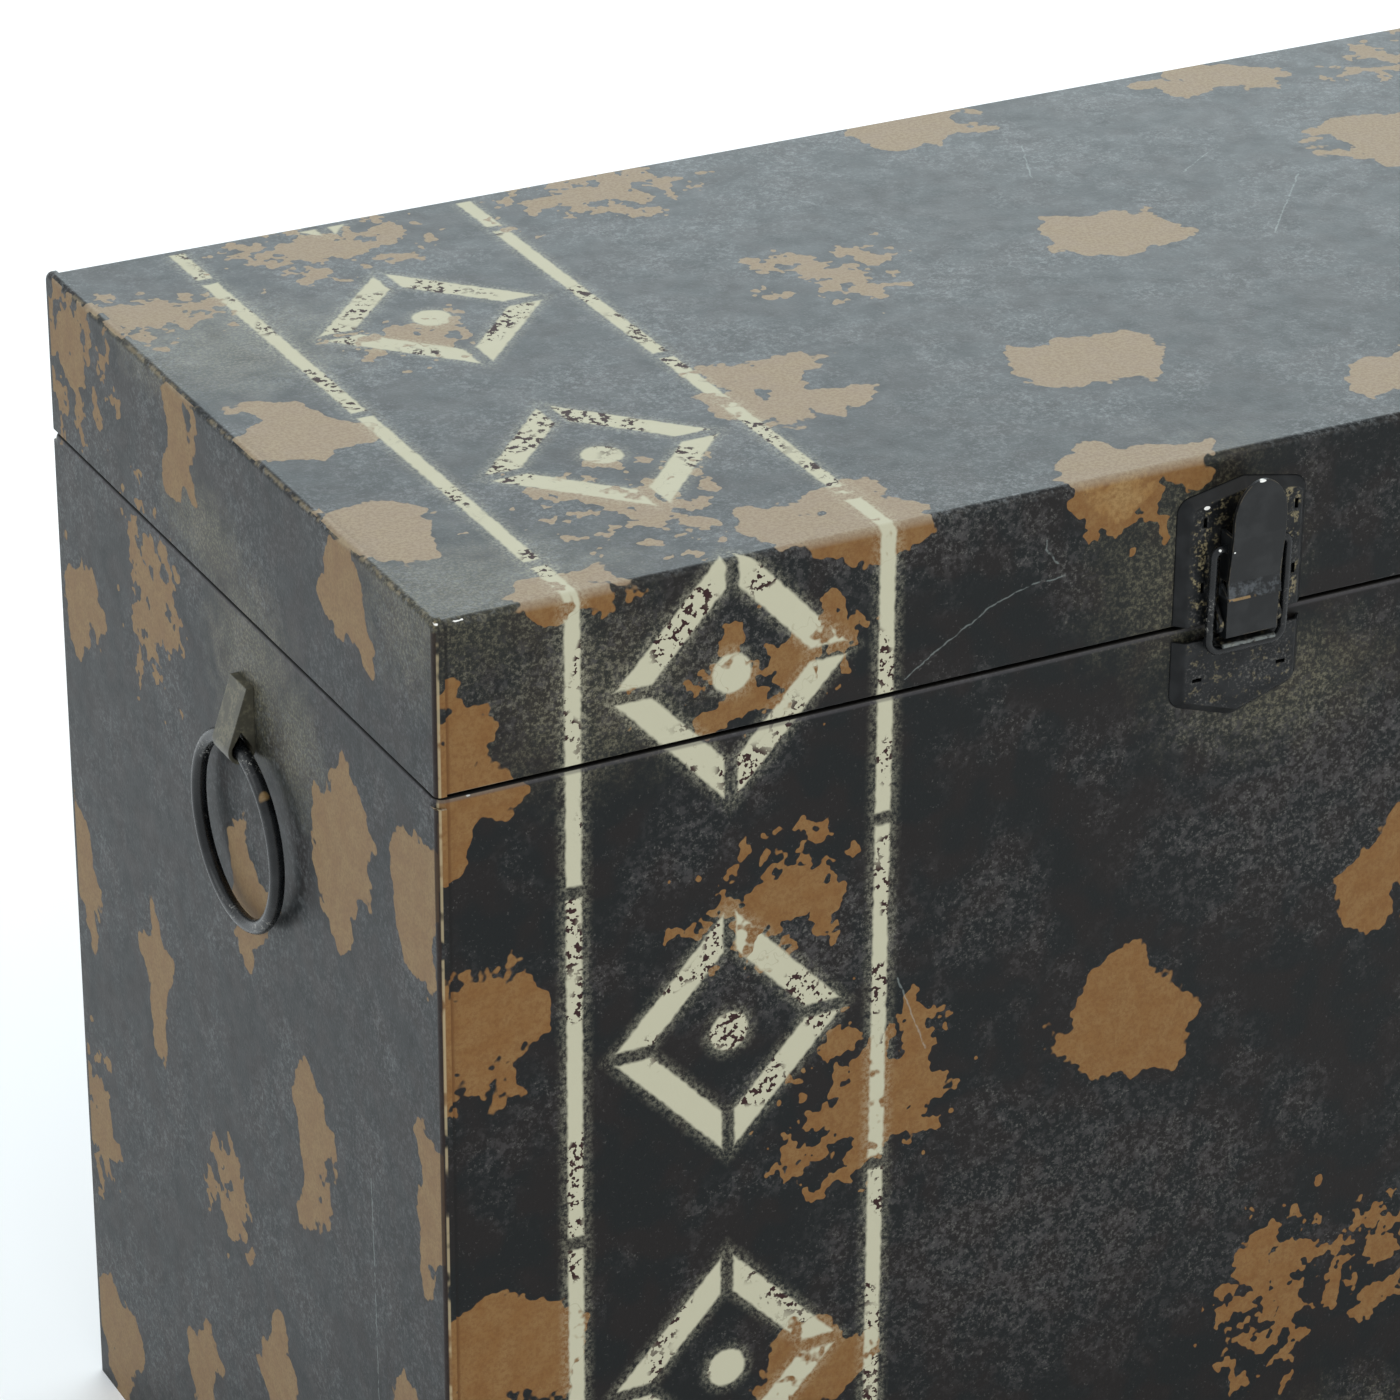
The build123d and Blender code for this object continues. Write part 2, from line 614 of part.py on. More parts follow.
def hinge_leaf(way, centres, wide_rib):
    """One leaf at the right-hand hinge: way is 1 for the lid's and -1 for the body's."""
    angle = way * rib_angle
    rib_start = knuckle_radius + rib_clearance if wide_rib else 0
    rib_middle = (rib_start + rib_reach) / 2
    with BuildPart() as leaf:
        with BuildSketch(back_section.offset(hinge_spread)):
            with Locations((0, hinge_axis[1] + way * (leaf_start + leaf_height / 2))):
                Rectangle(leaf_sheet, leaf_height, align=(Align.MIN, Align.CENTER))
        extrude(amount=hinge_width / 2, both=True)
        ends = leaf.edges().filter_by(Axis.Y).group_by(Axis.Z)
        fillet(ends[-1] if way > 0 else ends[0], leaf_corner)
        with BuildSketch(Plane.XZ.offset(-face)):
            with Locations(*[(x, hinge_axis[1] + way * rivet_drop) for x in rivet_places]):
                Circle(rivet_diameter / 2 + seat_clearance)
        extrude(amount=-2 * leaf_sheet, mode=Mode.SUBTRACT)
        for centre in centres:
            with BuildSketch(back_section.offset(hinge_spread + centre)):
                with Locations((knuckle_standoff, hinge_axis[1])):
                    Rectangle(
                        leaf_sheet, 2 * leaf_start + leaf_sheet,
                        align=(Align.MIN, Align.CENTER),
                    )
                with Locations((0, hinge_axis[1])):
                    Rectangle(
                        2 * knuckle_radius, 2 * leaf_start + leaf_sheet,
                        align=(Align.MIN, Align.MIN if way < 0 else Align.MAX),
                        mode=Mode.SUBTRACT,
                    )
                with Locations(hinge_axis):
                    Circle(knuckle_radius)
                    Rectangle(
                        rib_reach, rib_thickness, rotation=angle,
                        align=(Align.MIN, Align.CENTER),
                    )
            extrude(amount=segment / 2, both=True)
        if wide_rib:
            with BuildSketch(back_section.offset(hinge_spread)):
                with Locations((
                    hinge_axis[0] + rib_middle * cos(radians(angle)),
                    hinge_axis[1] + rib_middle * sin(radians(angle)),
                )):
                    Rectangle(rib_reach - rib_start, rib_thickness, rotation=angle)
            extrude(amount=hinge_width / 2, both=True)
        clearance = pin_clearance if wide_rib else seat_clearance
        with BuildSketch(back_section.offset(hinge_spread)):
            with Locations(hinge_axis):
                Circle(hinge_pin_diameter / 2 + clearance)
        extrude(amount=hinge_width, both=True, mode=Mode.SUBTRACT)
    return leaf


right_lid_leaf = hinge_leaf(1, middle_segment, wide_rib=True)
finish(right_lid_leaf, "hinge_right_lid_leaf")
left_lid_leaf = mirrored(right_lid_leaf)
finish(left_lid_leaf, "hinge_left_lid_leaf")
right_base_leaf = hinge_leaf(-1, outer_segments, wide_rib=False)
finish(right_base_leaf, "hinge_right_base_leaf")
left_base_leaf = mirrored(right_base_leaf)
finish(left_base_leaf, "hinge_left_base_leaf")

with BuildPart() as right_hinge_pin:
    with BuildSketch(back_section.offset(hinge_spread)):
        with Locations(hinge_axis):
            Circle(hinge_pin_diameter / 2)
    extrude(amount=hinge_width / 2, both=True)
    for end in (hinge_width / 2, -hinge_width / 2 - hinge_pin_head):
        with BuildSketch(back_section.offset(hinge_spread + end)):
            with Locations(hinge_axis):
                Circle(hinge_pin_head_radius)
        extrude(amount=hinge_pin_head)
finish(right_hinge_pin, "hinge_right_pin")
left_hinge_pin = mirrored(right_hinge_pin)
finish(left_hinge_pin, "hinge_left_pin")

# one rivet, with its head's underside at the origin and its axis along +Z
with BuildPart() as rivet:
    with BuildSketch(Plane.XZ):
        with BuildLine():
            grip = leaf_sheet + sheet
            RadiusArc(
                (rivet_head_radius, 0), (0, rivet_head_rise),
                -(rivet_head_radius**2 + rivet_head_rise**2) / (2 * rivet_head_rise),
            )
            Polyline(
                (0, rivet_head_rise),
                (0, -grip - rivet_tail_rise),
                (rivet_tail_radius, -grip - rivet_tail_rise),
                (rivet_tail_radius, -grip),
                (rivet_diameter / 2, -grip),
                (rivet_diameter / 2, 0),
                (rivet_head_radius, 0),
            )
        make_face()
    revolve(axis=Axis.Z)


def rivet_row(up):
    """Rivets of both hinges, in one row at this height."""
    with BuildPart() as row:
        for x in rivet_places:
            with Locations(Location((x, face + leaf_sheet, up), (-90, 0, 0))):
                add(rivet.part)
    return row


finish(rivet_row(hinge_axis[1] + rivet_drop), "hinge_lid_rivets")
finish(rivet_row(hinge_axis[1] - rivet_drop), "hinge_base_rivets")
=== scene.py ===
"""Looks of a small tin trunk: worn charcoal paint over sheet metal, in soft studio light.

Lengths in this file are millimetres, turned into metres by MM. X runs along the length,
-Y is the latch side and +Z is up, and the origin is the centre of the underside.
"""
import bpy
from math import radians
from mathutils import Matrix, Vector


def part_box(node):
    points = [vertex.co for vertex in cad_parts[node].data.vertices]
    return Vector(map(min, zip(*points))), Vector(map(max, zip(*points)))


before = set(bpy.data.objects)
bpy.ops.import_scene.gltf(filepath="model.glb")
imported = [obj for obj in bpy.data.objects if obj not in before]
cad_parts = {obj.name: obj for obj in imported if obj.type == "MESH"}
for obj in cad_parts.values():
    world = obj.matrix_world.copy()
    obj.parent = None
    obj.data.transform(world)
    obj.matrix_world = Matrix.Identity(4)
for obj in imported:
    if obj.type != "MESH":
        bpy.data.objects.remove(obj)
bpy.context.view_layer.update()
MM = 0.001

# ---------------------------------------------------------------- sizes read from the frame
wrap_low, wrap_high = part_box("base_wrap")
end_low, end_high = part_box("base_left_end")
lid_low, lid_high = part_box("lid_left_end")
half_length = -end_low[0] / MM
half_depth = end_high[1] / MM
face = wrap_high[1] / MM
height = lid_high[2] / MM
lid_rim = lid_low[2] / MM
body_top = end_high[2] / MM
bead_top = lid_rim - 0.8    # the lid rests this far above the body's rolled bead


# ================================================================ node helpers
class Look:
    """One material's nodes, written as formulas. Places are millimetres of the part's frame."""

    def __init__(self, name):
        self.material = bpy.data.materials.new(name)
        self.material.use_nodes = True
        self.tree = self.material.node_tree
        self.tree.nodes.clear()
        coordinates = self.tree.nodes.new("ShaderNodeTexCoord").outputs["Object"]
        self.place = self.vector("SCALE", coordinates, scale=1 / MM)

    def put(self, socket, value):
        if isinstance(value, bpy.types.NodeSocket):
            self.tree.links.new(value, socket)
        else:
            socket.default_value = value

    def math(self, operation, a, b=0.0, c=0.0, clamp=False):
        node = self.tree.nodes.new("ShaderNodeMath")
        node.operation = operation
        node.use_clamp = clamp
        for socket, value in zip(node.inputs, (a, b, c)):
            self.put(socket, value)
        return node.outputs[0]

    def vector(self, operation, a, b=(0, 0, 0), c=(0, 0, 0), scale=1.0):
        node = self.tree.nodes.new("ShaderNodeVectorMath")
        node.operation = operation
        for socket, value in zip(node.inputs, (a, b, c, scale)):
            self.put(socket, value)
        length = operation in ("LENGTH", "DISTANCE", "DOT_PRODUCT")
        return node.outputs["Value" if length else "Vector"]

    def axes(self, vector):
        node = self.tree.nodes.new("ShaderNodeSeparateXYZ")
        self.put(node.inputs[0], vector)
        return node.outputs

    def joined(self, x, y, z):
        node = self.tree.nodes.new("ShaderNodeCombineXYZ")
        for socket, value in zip(node.inputs, (x, y, z)):
            self.put(socket, value)
        return node.outputs[0]

    def noise(self, size, detail=2.0, roughness=0.5, where=None, colour=False):
        """Noise about 0.5, with lumps of this size in millimetres."""
        node = self.tree.nodes.new("ShaderNodeTexNoise")
        self.put(node.inputs["Vector"], self.place if where is None else where)
        node.inputs["Scale"].default_value = 1 / size
        node.inputs["Detail"].default_value = detail
        node.inputs["Roughness"].default_value = roughness
        return node.outputs["Color" if colour else "Fac"]

    def cracks(self, size, where=None):
        """Distance to the borders of random cells of this size."""
        node = self.tree.nodes.new("ShaderNodeTexVoronoi")
        node.feature = "DISTANCE_TO_EDGE"
        self.put(node.inputs["Vector"], self.place if where is None else where)
        node.inputs["Scale"].default_value = 1 / size
        return node.outputs["Distance"]

    def rise(self, value, low, high):
        """Smooth step from 0 at low to 1 at high. It falls instead where low is the greater."""
        node = self.tree.nodes.new("ShaderNodeMapRange")
        node.interpolation_type = "SMOOTHSTEP"
        start, stop = min(low, high), max(low, high)
        self.put(node.inputs["Value"], value)
        node.inputs["From Min"].default_value = start
        node.inputs["From Max"].default_value = stop
        node.inputs["To Min"].default_value = 0.0 if low < high else 1.0
        node.inputs["To Max"].default_value = 1.0 if low < high else 0.0
        return node.outputs["Result"]

    def both(self, *masks):
        result = masks[0]
        for mask in masks[1:]:
            result = self.math("MULTIPLY", result, mask)
        return result

    def either(self, *masks):
        result = masks[0]
        for mask in masks[1:]:
            result = self.math("MAXIMUM", result, mask)
        return result

    def least(self, *values):
        result = values[0]
        for value in values[1:]:
            result = self.math("MINIMUM", result, value)
        return result

    def without(self, mask, other):
        return self.math("MULTIPLY", mask, self.math("SUBTRACT", 1.0, other))

    def mix(self, factor, under, over):
        node = self.tree.nodes.new("ShaderNodeMix")
        node.data_type = "RGBA"
        self.put(node.inputs["Factor"], factor)
        for socket, value in zip((node.inputs[6], node.inputs[7]), (under, over)):
            self.put(socket, (*value, 1.0) if isinstance(value, tuple) else value)
        return node.outputs[2]

    def blend(self, factor, under, over):
        node = self.tree.nodes.new("ShaderNodeMix")
        self.put(node.inputs["Factor"], factor)
        self.put(node.inputs[2], under)
        self.put(node.inputs[3], over)
        return node.outputs[0]

    def relief(self, height, distance, normal=None):
        """Bump of a height from 0 to 1, this many millimetres tall."""
        node = self.tree.nodes.new("ShaderNodeBump")
        node.inputs["Distance"].default_value = distance * MM
        self.put(node.inputs["Height"], height)
        if normal is not None:
            self.put(node.inputs["Normal"], normal)
        return node.outputs[0]

    def finish(self, colour, roughness, normal=None, metallic=0.0, specular=0.5):
        shader = self.tree.nodes.new("ShaderNodeBsdfPrincipled")
        for name, value in (("Base Color", colour), ("Roughness", roughness),
                            ("Metallic", metallic), ("Specular IOR Level", specular)):
            if isinstance(value, tuple):
                value = (*value, 1.0)
            self.put(shader.inputs[name], value)
        if normal is not None:
            self.put(shader.inputs["Normal"], normal)
        output = self.tree.nodes.new("ShaderNodeOutputMaterial")
        self.tree.links.new(shader.outputs[0], output.inputs["Surface"])
        return self.material


# ================================================================ painted sheet
PAINT = (0.0045, 0.0062, 0.0066)
PAINT_BROWN = (0.0085, 0.0068, 0.0064)
SPECK = (0.085, 0.082, 0.076)
GRAIN = (0.18, 0.19, 0.195)
BLOTCH = (0.078, 0.072, 0.072)
SPECK_TAN = (0.17, 0.155, 0.10)
DUST = (0.16, 0.145, 0.095)
BARE_BROWN = (0.245, 0.130, 0.042)
BARE_TAN = (0.29, 0.18, 0.072)
BARE_DARK = (0.14, 0.058, 0.016)
BARE_PALE = (0.40, 0.32, 0.19)
# lit and shaded copies of the bare tan: paler on the top for painted sheen, darker on the ends for painted shade
TOP_SHEEN_TAN = (0.36, 0.325, 0.255)
END_SHADE_TAN = (0.13, 0.115, 0.09)
CREAM = (0.47, 0.45, 0.33)
FLAKE = (0.030, 0.010, 0.010)
# painted highlight: near white for glints on edges, the bead and the latch
GLINT_WHITE = (0.85, 0.84, 0.80)
# painted shade: near black for the gap under the lid, beside the lips' cut edges and behind the latch lever
PAINTED_SHADE = (0.004, 0.0035, 0.003)
# painted shade on the lips' rounded faces at the front corners
LIP_SHADE = (0.016, 0.008, 0.006)
SCRATCHED = (0.42, 0.48, 0.46)
# painted sheen on the rolled bead below the lid
BEAD_SHEEN = (0.070, 0.065, 0.070)

# Bare patches on the front: distance from the left end, height, width, height of the patch.
FRONT_SOLID = (
    (2, 289, 29, 38), (5, 272, 20, 22), (9, 221, 34, 36), (16, 133, 40, 34), (183, 179, 37, 38), (257, 203, 28, 32),
    (97, 106, 33, 26), (36, 327, 34, 16), (108, 327, 42, 14),
    (45, 60, 36, 30), (168, 52, 34, 38), (318, 152, 36, 34), (352, 262, 38, 26), (398, 196, 34, 40),
    (300, 34, 34, 32), (392, 72, 36, 30), (290, 318, 30, 22), (408, 300, 26, 36),
)
FRONT_TORN = (
    (176, 321, 22, 24), (80, 296, 44, 24), (100, 304, 14, 18), (85, 237, 42, 30),
    (112, 177, 40, 42), (230, 89, 33, 44), (259, 90, 28, 30), (110, 24, 40, 34), (345, 100, 38, 40), (330, 208, 34, 30), (232, 14, 36, 30),
)
# The same on the end panel: distance from the front, height, width, height of the patch.
END_SOLID = (
    (144, 314, 26, 32), (49, 314, 30, 26), (216, 238, 26, 42), (111, 206, 30, 40), (53, 246, 30, 46),
    (11, 250, 26, 44), (173, 149, 18, 40), (77, 154, 22, 42), (221, 162, 20, 42), (8, 172, 18, 48),
    (215, 18, 30, 40), (101, 72, 24, 34), (18, 106, 30, 26), (150, 48, 26, 36), (40, 40, 24, 40),
)
END_TORN = ((213, 309, 38, 40), (166, 260, 34, 46), (222, 85, 20, 44), (130, 108, 22, 30))
# The same on the top: distances from the left end and from the front, length, depth.
TOP_SOLID = (
    (243, 221, 42, 28), (335, 216, 42, 28), (352, 158, 42, 32), (251, 132, 36, 34), (205, 65, 42, 36),
    (270, 20, 34, 30), (126, 81, 42, 38), (13, 110, 34, 34), (10, 52, 36, 36), (107, 10, 44, 30),
    (180, 6, 50, 24), (36, 6, 32, 20), (330, 75, 40, 34), (395, 118, 36, 34), (402, 30, 34, 36),
)
TOP_TORN = (
    (14, 192, 36, 30), (68, 215, 48, 36), (147, 216, 46, 34), (175, 141, 36, 34), (65, 150, 34, 28),
    (69, 37, 42, 42), (392, 205, 38, 34),
)
PATCH_DEPTH = 8             # how far a patch reaches round an edge onto the next panel
PATCH_LOBES = 16            # size of the lobes in a patch's outline
LOBE_SHIFT = 20             # how far they move it
PATCH_FRAYS = 4.0           # size of the smaller nicks
FRAY_SHIFT = 4

# Panels, as ranges of X, Y and Z; the right end and the back repeat the first two.
FRONT_PANEL = ((-half_length, half_length), (-half_depth, -half_depth + 3), (0, height))
LEFT_PANEL = ((-half_length, -half_length + 3), (-half_depth, half_depth), (0, height))
TOP_PANEL = ((-half_length, half_length), (-half_depth, half_depth), (height - 3, height))


def patch_places(solid, on_end, panels, low, high):
    """Middles and sizes of the patches that reach these panels between two heights."""
    front = FRONT_SOLID if solid else FRONT_TORN
    end = END_SOLID if solid else END_TORN
    top = TOP_SOLID if solid else TOP_TORN
    depth = PATCH_DEPTH * 2
    if on_end:
        every = [((-half_length, y - half_depth, z), (depth, w, h)) for y, z, w, h in end]
    else:
        every = [((x - half_length, -half_depth, z), (w, depth, h)) for x, z, w, h in front]
        every += [((x - half_length, y - half_depth, height), (w, d, depth)) for x, y, w, d in top]
    reach = (LOBE_SHIFT + FRAY_SHIFT) / 2
    kept = []
    for middle, size in every:
        for panel in panels:
            span = (panel[0], panel[1], (max(panel[2][0], low), min(panel[2][1], high)))
            gaps = [max(s[0] - m, m - s[1], 0) - w / 2 - reach for m, w, s in zip(middle, size, span)]
            if max(gaps) < 0:
                kept.append((middle, size))
                break
    return kept


def nearest_patch(look, where, places):
    """Distance to the nearest patch's middle, 1 at its outline."""
    distances = []
    for middle, size in places:
        factor = tuple(2 / s for s in size)
        shift = tuple(-m * f for m, f in zip(middle, factor))
        distances.append(look.vector("LENGTH", look.vector("MULTIPLY_ADD", where, factor, shift)))
    return look.least(*distances) if distances else 9.0


def facing(look):
    """Masks of the panels facing along X, along Y and up, and of the sheets' outer faces."""
    geometry = look.tree.nodes.new("ShaderNodeNewGeometry")
    turn = look.tree.nodes.new("ShaderNodeVectorTransform")
    turn.vector_type = "NORMAL"
    turn.convert_from = "WORLD"
    turn.convert_to = "OBJECT"
    look.put(turn.inputs[0], geometry.outputs["True Normal"])
    normal = turn.outputs[0]
    from_middle = look.vector("SUBTRACT", look.place, (0.0, 0.0, height / 2))
    outward = look.rise(look.vector("DOT_PRODUCT", from_middle, normal), -1.0, 1.0)
    return (*look.axes(look.vector("ABSOLUTE", normal)), outward)


def bare_patches(look, where, endwise, panels, low, high):
    """Distances to the broad patches' outlines and to the torn ones', 1 on the outline."""
    lobes = look.noise(PATCH_LOBES, 0.0, where=where, colour=True)
    frays = look.noise(PATCH_FRAYS, 1.0, where=where, colour=True)
    moved = look.vector("MULTIPLY_ADD", lobes, (LOBE_SHIFT,) * 3, (-LOBE_SHIFT / 2,) * 3)
    moved = look.vector("MULTIPLY_ADD", frays, (FRAY_SHIFT,) * 3, moved)
    moved = look.vector("ADD", moved, (-FRAY_SHIFT / 2,) * 3)
    lobed = look.vector("ADD", where, moved)
    ragged = look.math("ADD", look.noise(6.5, 2.0, 0.6, where=where), -0.5)
    fields = []
    for solid, raggedness in ((True, 0.75), (False, 3.6)):
        elsewhere = nearest_patch(look, lobed, patch_places(solid, False, panels, low, high))
        on_end = nearest_patch(look, lobed, patch_places(solid, True, panels, low, high))
        nearest = look.blend(endwise, elsewhere, on_end)
        fields.append(look.math("MULTIPLY_ADD", ragged, raggedness, nearest))
    return fields


# ---------------------------------------------------------------- stencilled border
STENCIL_MIDDLE = 74         # border's centre line, from the left end
STENCIL_PITCH = 93          # from one lozenge to the next
STENCIL_START = 20          # height of the first lozenge's middle
LOZENGE_WIDE = 31           # half the lozenge's width
LOZENGE_TALL = 33           # half its height
LOZENGE_BAND = 0.30         # its stroke, as a share of the half width
STENCIL_BRIDGE = 1.7        # half width of the bridges that hold a stencil's middle
BAR_INNER = 38.0            # border's two lines, from its centre line
BAR_OUTER = 42.0
DOT_RADIUS = 5.0
SOFT_EDGE = 0.9             # width of the sprayed edge
OVERSPRAY = 3.4             # faint spray outside it


def stencil_border(look):
    """Cream lozenges between two lines, up the front and on across the top: mask and overspray."""
    x, y, z = look.axes(look.place)
    across = look.math("ABSOLUTE", look.math("ADD", x, half_length - STENCIL_MIDDLE))
    along = look.math("ADD", z, look.math("ADD", y, half_depth - STENCIL_START))
    cell = look.math("DIVIDE", along, STENCIL_PITCH)
    cell = look.math("SUBTRACT", cell, look.math("ROUND", cell))
    step = look.math("MULTIPLY", look.math("ABSOLUTE", cell), STENCIL_PITCH)
    wobble = look.math("MULTIPLY_ADD", look.noise(2.2, 1.0, 0.6), SOFT_EDGE, -SOFT_EDGE / 2)

    lozenge = look.math("ADD", look.math("DIVIDE", across, LOZENGE_WIDE),
                        look.math("DIVIDE", step, LOZENGE_TALL))
    slope = LOZENGE_WIDE * LOZENGE_TALL / (LOZENGE_WIDE**2 + LOZENGE_TALL**2) ** 0.5
    outer = look.math("MULTIPLY_ADD", lozenge, slope, -slope)
    inner = look.math("MULTIPLY_ADD", lozenge, -slope, slope * (1 - LOZENGE_BAND))
    bridge = look.math("SUBTRACT", STENCIL_BRIDGE, look.least(across, step))
    ring = look.either(outer, inner, bridge)
    dot = look.math("SUBTRACT", look.vector("LENGTH", look.joined(across, step, 0.0)), DOT_RADIUS)
    bar_middle = (BAR_INNER + BAR_OUTER) / 2
    bar = look.math("SUBTRACT", look.math("ABSOLUTE", look.math("SUBTRACT", across, bar_middle)),
                    (BAR_OUTER - BAR_INNER) / 2)
    between = look.math("SUBTRACT", step, STENCIL_PITCH / 2 - STENCIL_BRIDGE)
    line = look.either(bar, between)
    shape = look.math("ADD", look.least(ring, dot, line), wobble)
    front_and_top = look.rise(y, half_depth - 4, half_depth - 5)
    solid = look.both(look.rise(shape, SOFT_EDGE / 2, -SOFT_EDGE / 2), front_and_top)
    haze = look.both(look.rise(shape, OVERSPRAY, 0.0), front_and_top)
    return solid, haze


# ---------------------------------------------------------------- scratches, painted glints and dust
# Hairline scratches: two ends, each a place from the left, from the front and up.
SCRATCHES = (
    ((119, 0.7, 286.6), (128.6, 0.7, 292.9)), ((128.6, 0.7, 292.9), (141.7, 0.7, 300.3)),
    ((141.7, 0.7, 300.3), (152.2, 0.7, 303.6)), ((152.2, 0.7, 303.6), (161.1, 0.7, 303.8)),
    ((155.9, 0.7, 313.8), (155.9, 0.7, 311.7)), ((155.9, 0.7, 311.7), (159.3, 0.7, 307.2)),
    ((119, 0.7, 208), (127, 0.7, 187)), ((0, 41, 164), (0, 38, 40)),
    ((254, 174, 326.3), (264, 196, 326.3)), ((290, 113, 326.3), (303, 128, 326.3)),
    ((303, 128, 326.3), (319, 146, 326.3)), ((292, 160, 326.3), (308, 171, 326.3)),
)
SCRATCH_WIDTH = 0.32
# Painted highlights: small white glints on the corner edges and the bead, painted into the colour: place and half
# sizes.
EDGE_GLINTS = (
    ((0.4, 0.5, 326.8), (1.5, 1.5, 1.2)), ((6.8, 1.1, 325.9), (2.0, 0.8, 0.45)),
    ((8.2, 0.9, 282.7), (0.8, 0.6, 0.3)),
)
# Haze of yellowish dust: middle and half sizes, all from the left, the front and the underside.
DUST_CLOUDS = (
    ((0, 104, 272), (30, 34, 34)), ((0, 78, 262), (30, 22, 24)), ((0, 130, 296), (30, 34, 16)),
    ((22, 165, 327), (44, 44, 12)), ((12, 14, 327), (54, 36, 30)), ((196, 0, 300), (36, 30, 40)),
    ((222, 0, 262), (42, 30, 22)), ((40, 0, 300), (36, 20, 30)), ((250, 0, 20), (60, 20, 40)),
)
# Crowds of pale specks on the front, in the same way.
SPECK_CROWDS = (
    ((50, 0, 306), (56, 30, 20)), ((92, 0, 222), (40, 30, 22)), ((240, 0, 228), (56, 30, 40)),
    ((165, 0, 126), (70, 30, 46)), ((50, 0, 40), (50, 30, 30)), ((330, 0, 140), (70, 30, 50)),
    ((290, 0, 306), (60, 30, 20)), ((360, 0, 50), (60, 30, 30)), ((120, 0, 327), (60, 40, 20)),
)

# Painted highlights: white glints on the latch painted into the colour, counted in the same way.
PLATE_GLINTS = (((197.8, -1.4, 314.5), (0.9, 1.4, 0.5)),)
LEVER_GLINTS = (
    ((208.7, -8.3, 321.8), (0.9, 1.2, 0.35)), ((202.5, -7.4, 304.3), (0.25, 0.6, 0.2)),
    ((202.0, -6.6, 309.8), (0.2, 0.5, 0.3)), ((202.9, -8.2, 318.3), (0.25, 0.7, 0.6)),
)
BAIL_GLINTS = (((199.7, -5.4, 304.6), (0.35, 0.5, 0.3)),)
# Bare spots on the ring.
RING_BARE = (((-4.5, 89, 246.3), (3, 1.2, 3.2)),)


def from_corner(place):
    """A place counted from the left end and the front, in the part's frame."""
    return (place[0] - half_length, place[1] - half_depth, place[2])


def blobs(look, where, places):
    """Distance to the nearest of these soft lumps' middles, 1 at its outline."""
    return nearest_patch(look, where, [
        (from_corner(middle), tuple(2 * s for s in sizes)) for middle, sizes in places
    ])


def scratched(look, where):
    """Mask of the hairline scratches."""
    lines = []
    for first, last in SCRATCHES:
        start = Vector(from_corner(first))
        run = Vector(from_corner(last)) - start
        way = run.normalized()
        offset = look.vector("SUBTRACT", where, tuple(start))
        along = look.vector("DOT_PRODUCT", offset, tuple(way))
        held = look.least(look.either(along, 0.0), run.length)
        foot = look.vector("SCALE", tuple(way), scale=held)
        lines.append(look.vector("DISTANCE", offset, foot))
    return look.rise(look.least(*lines), SCRATCH_WIDTH, SCRATCH_WIDTH / 3)


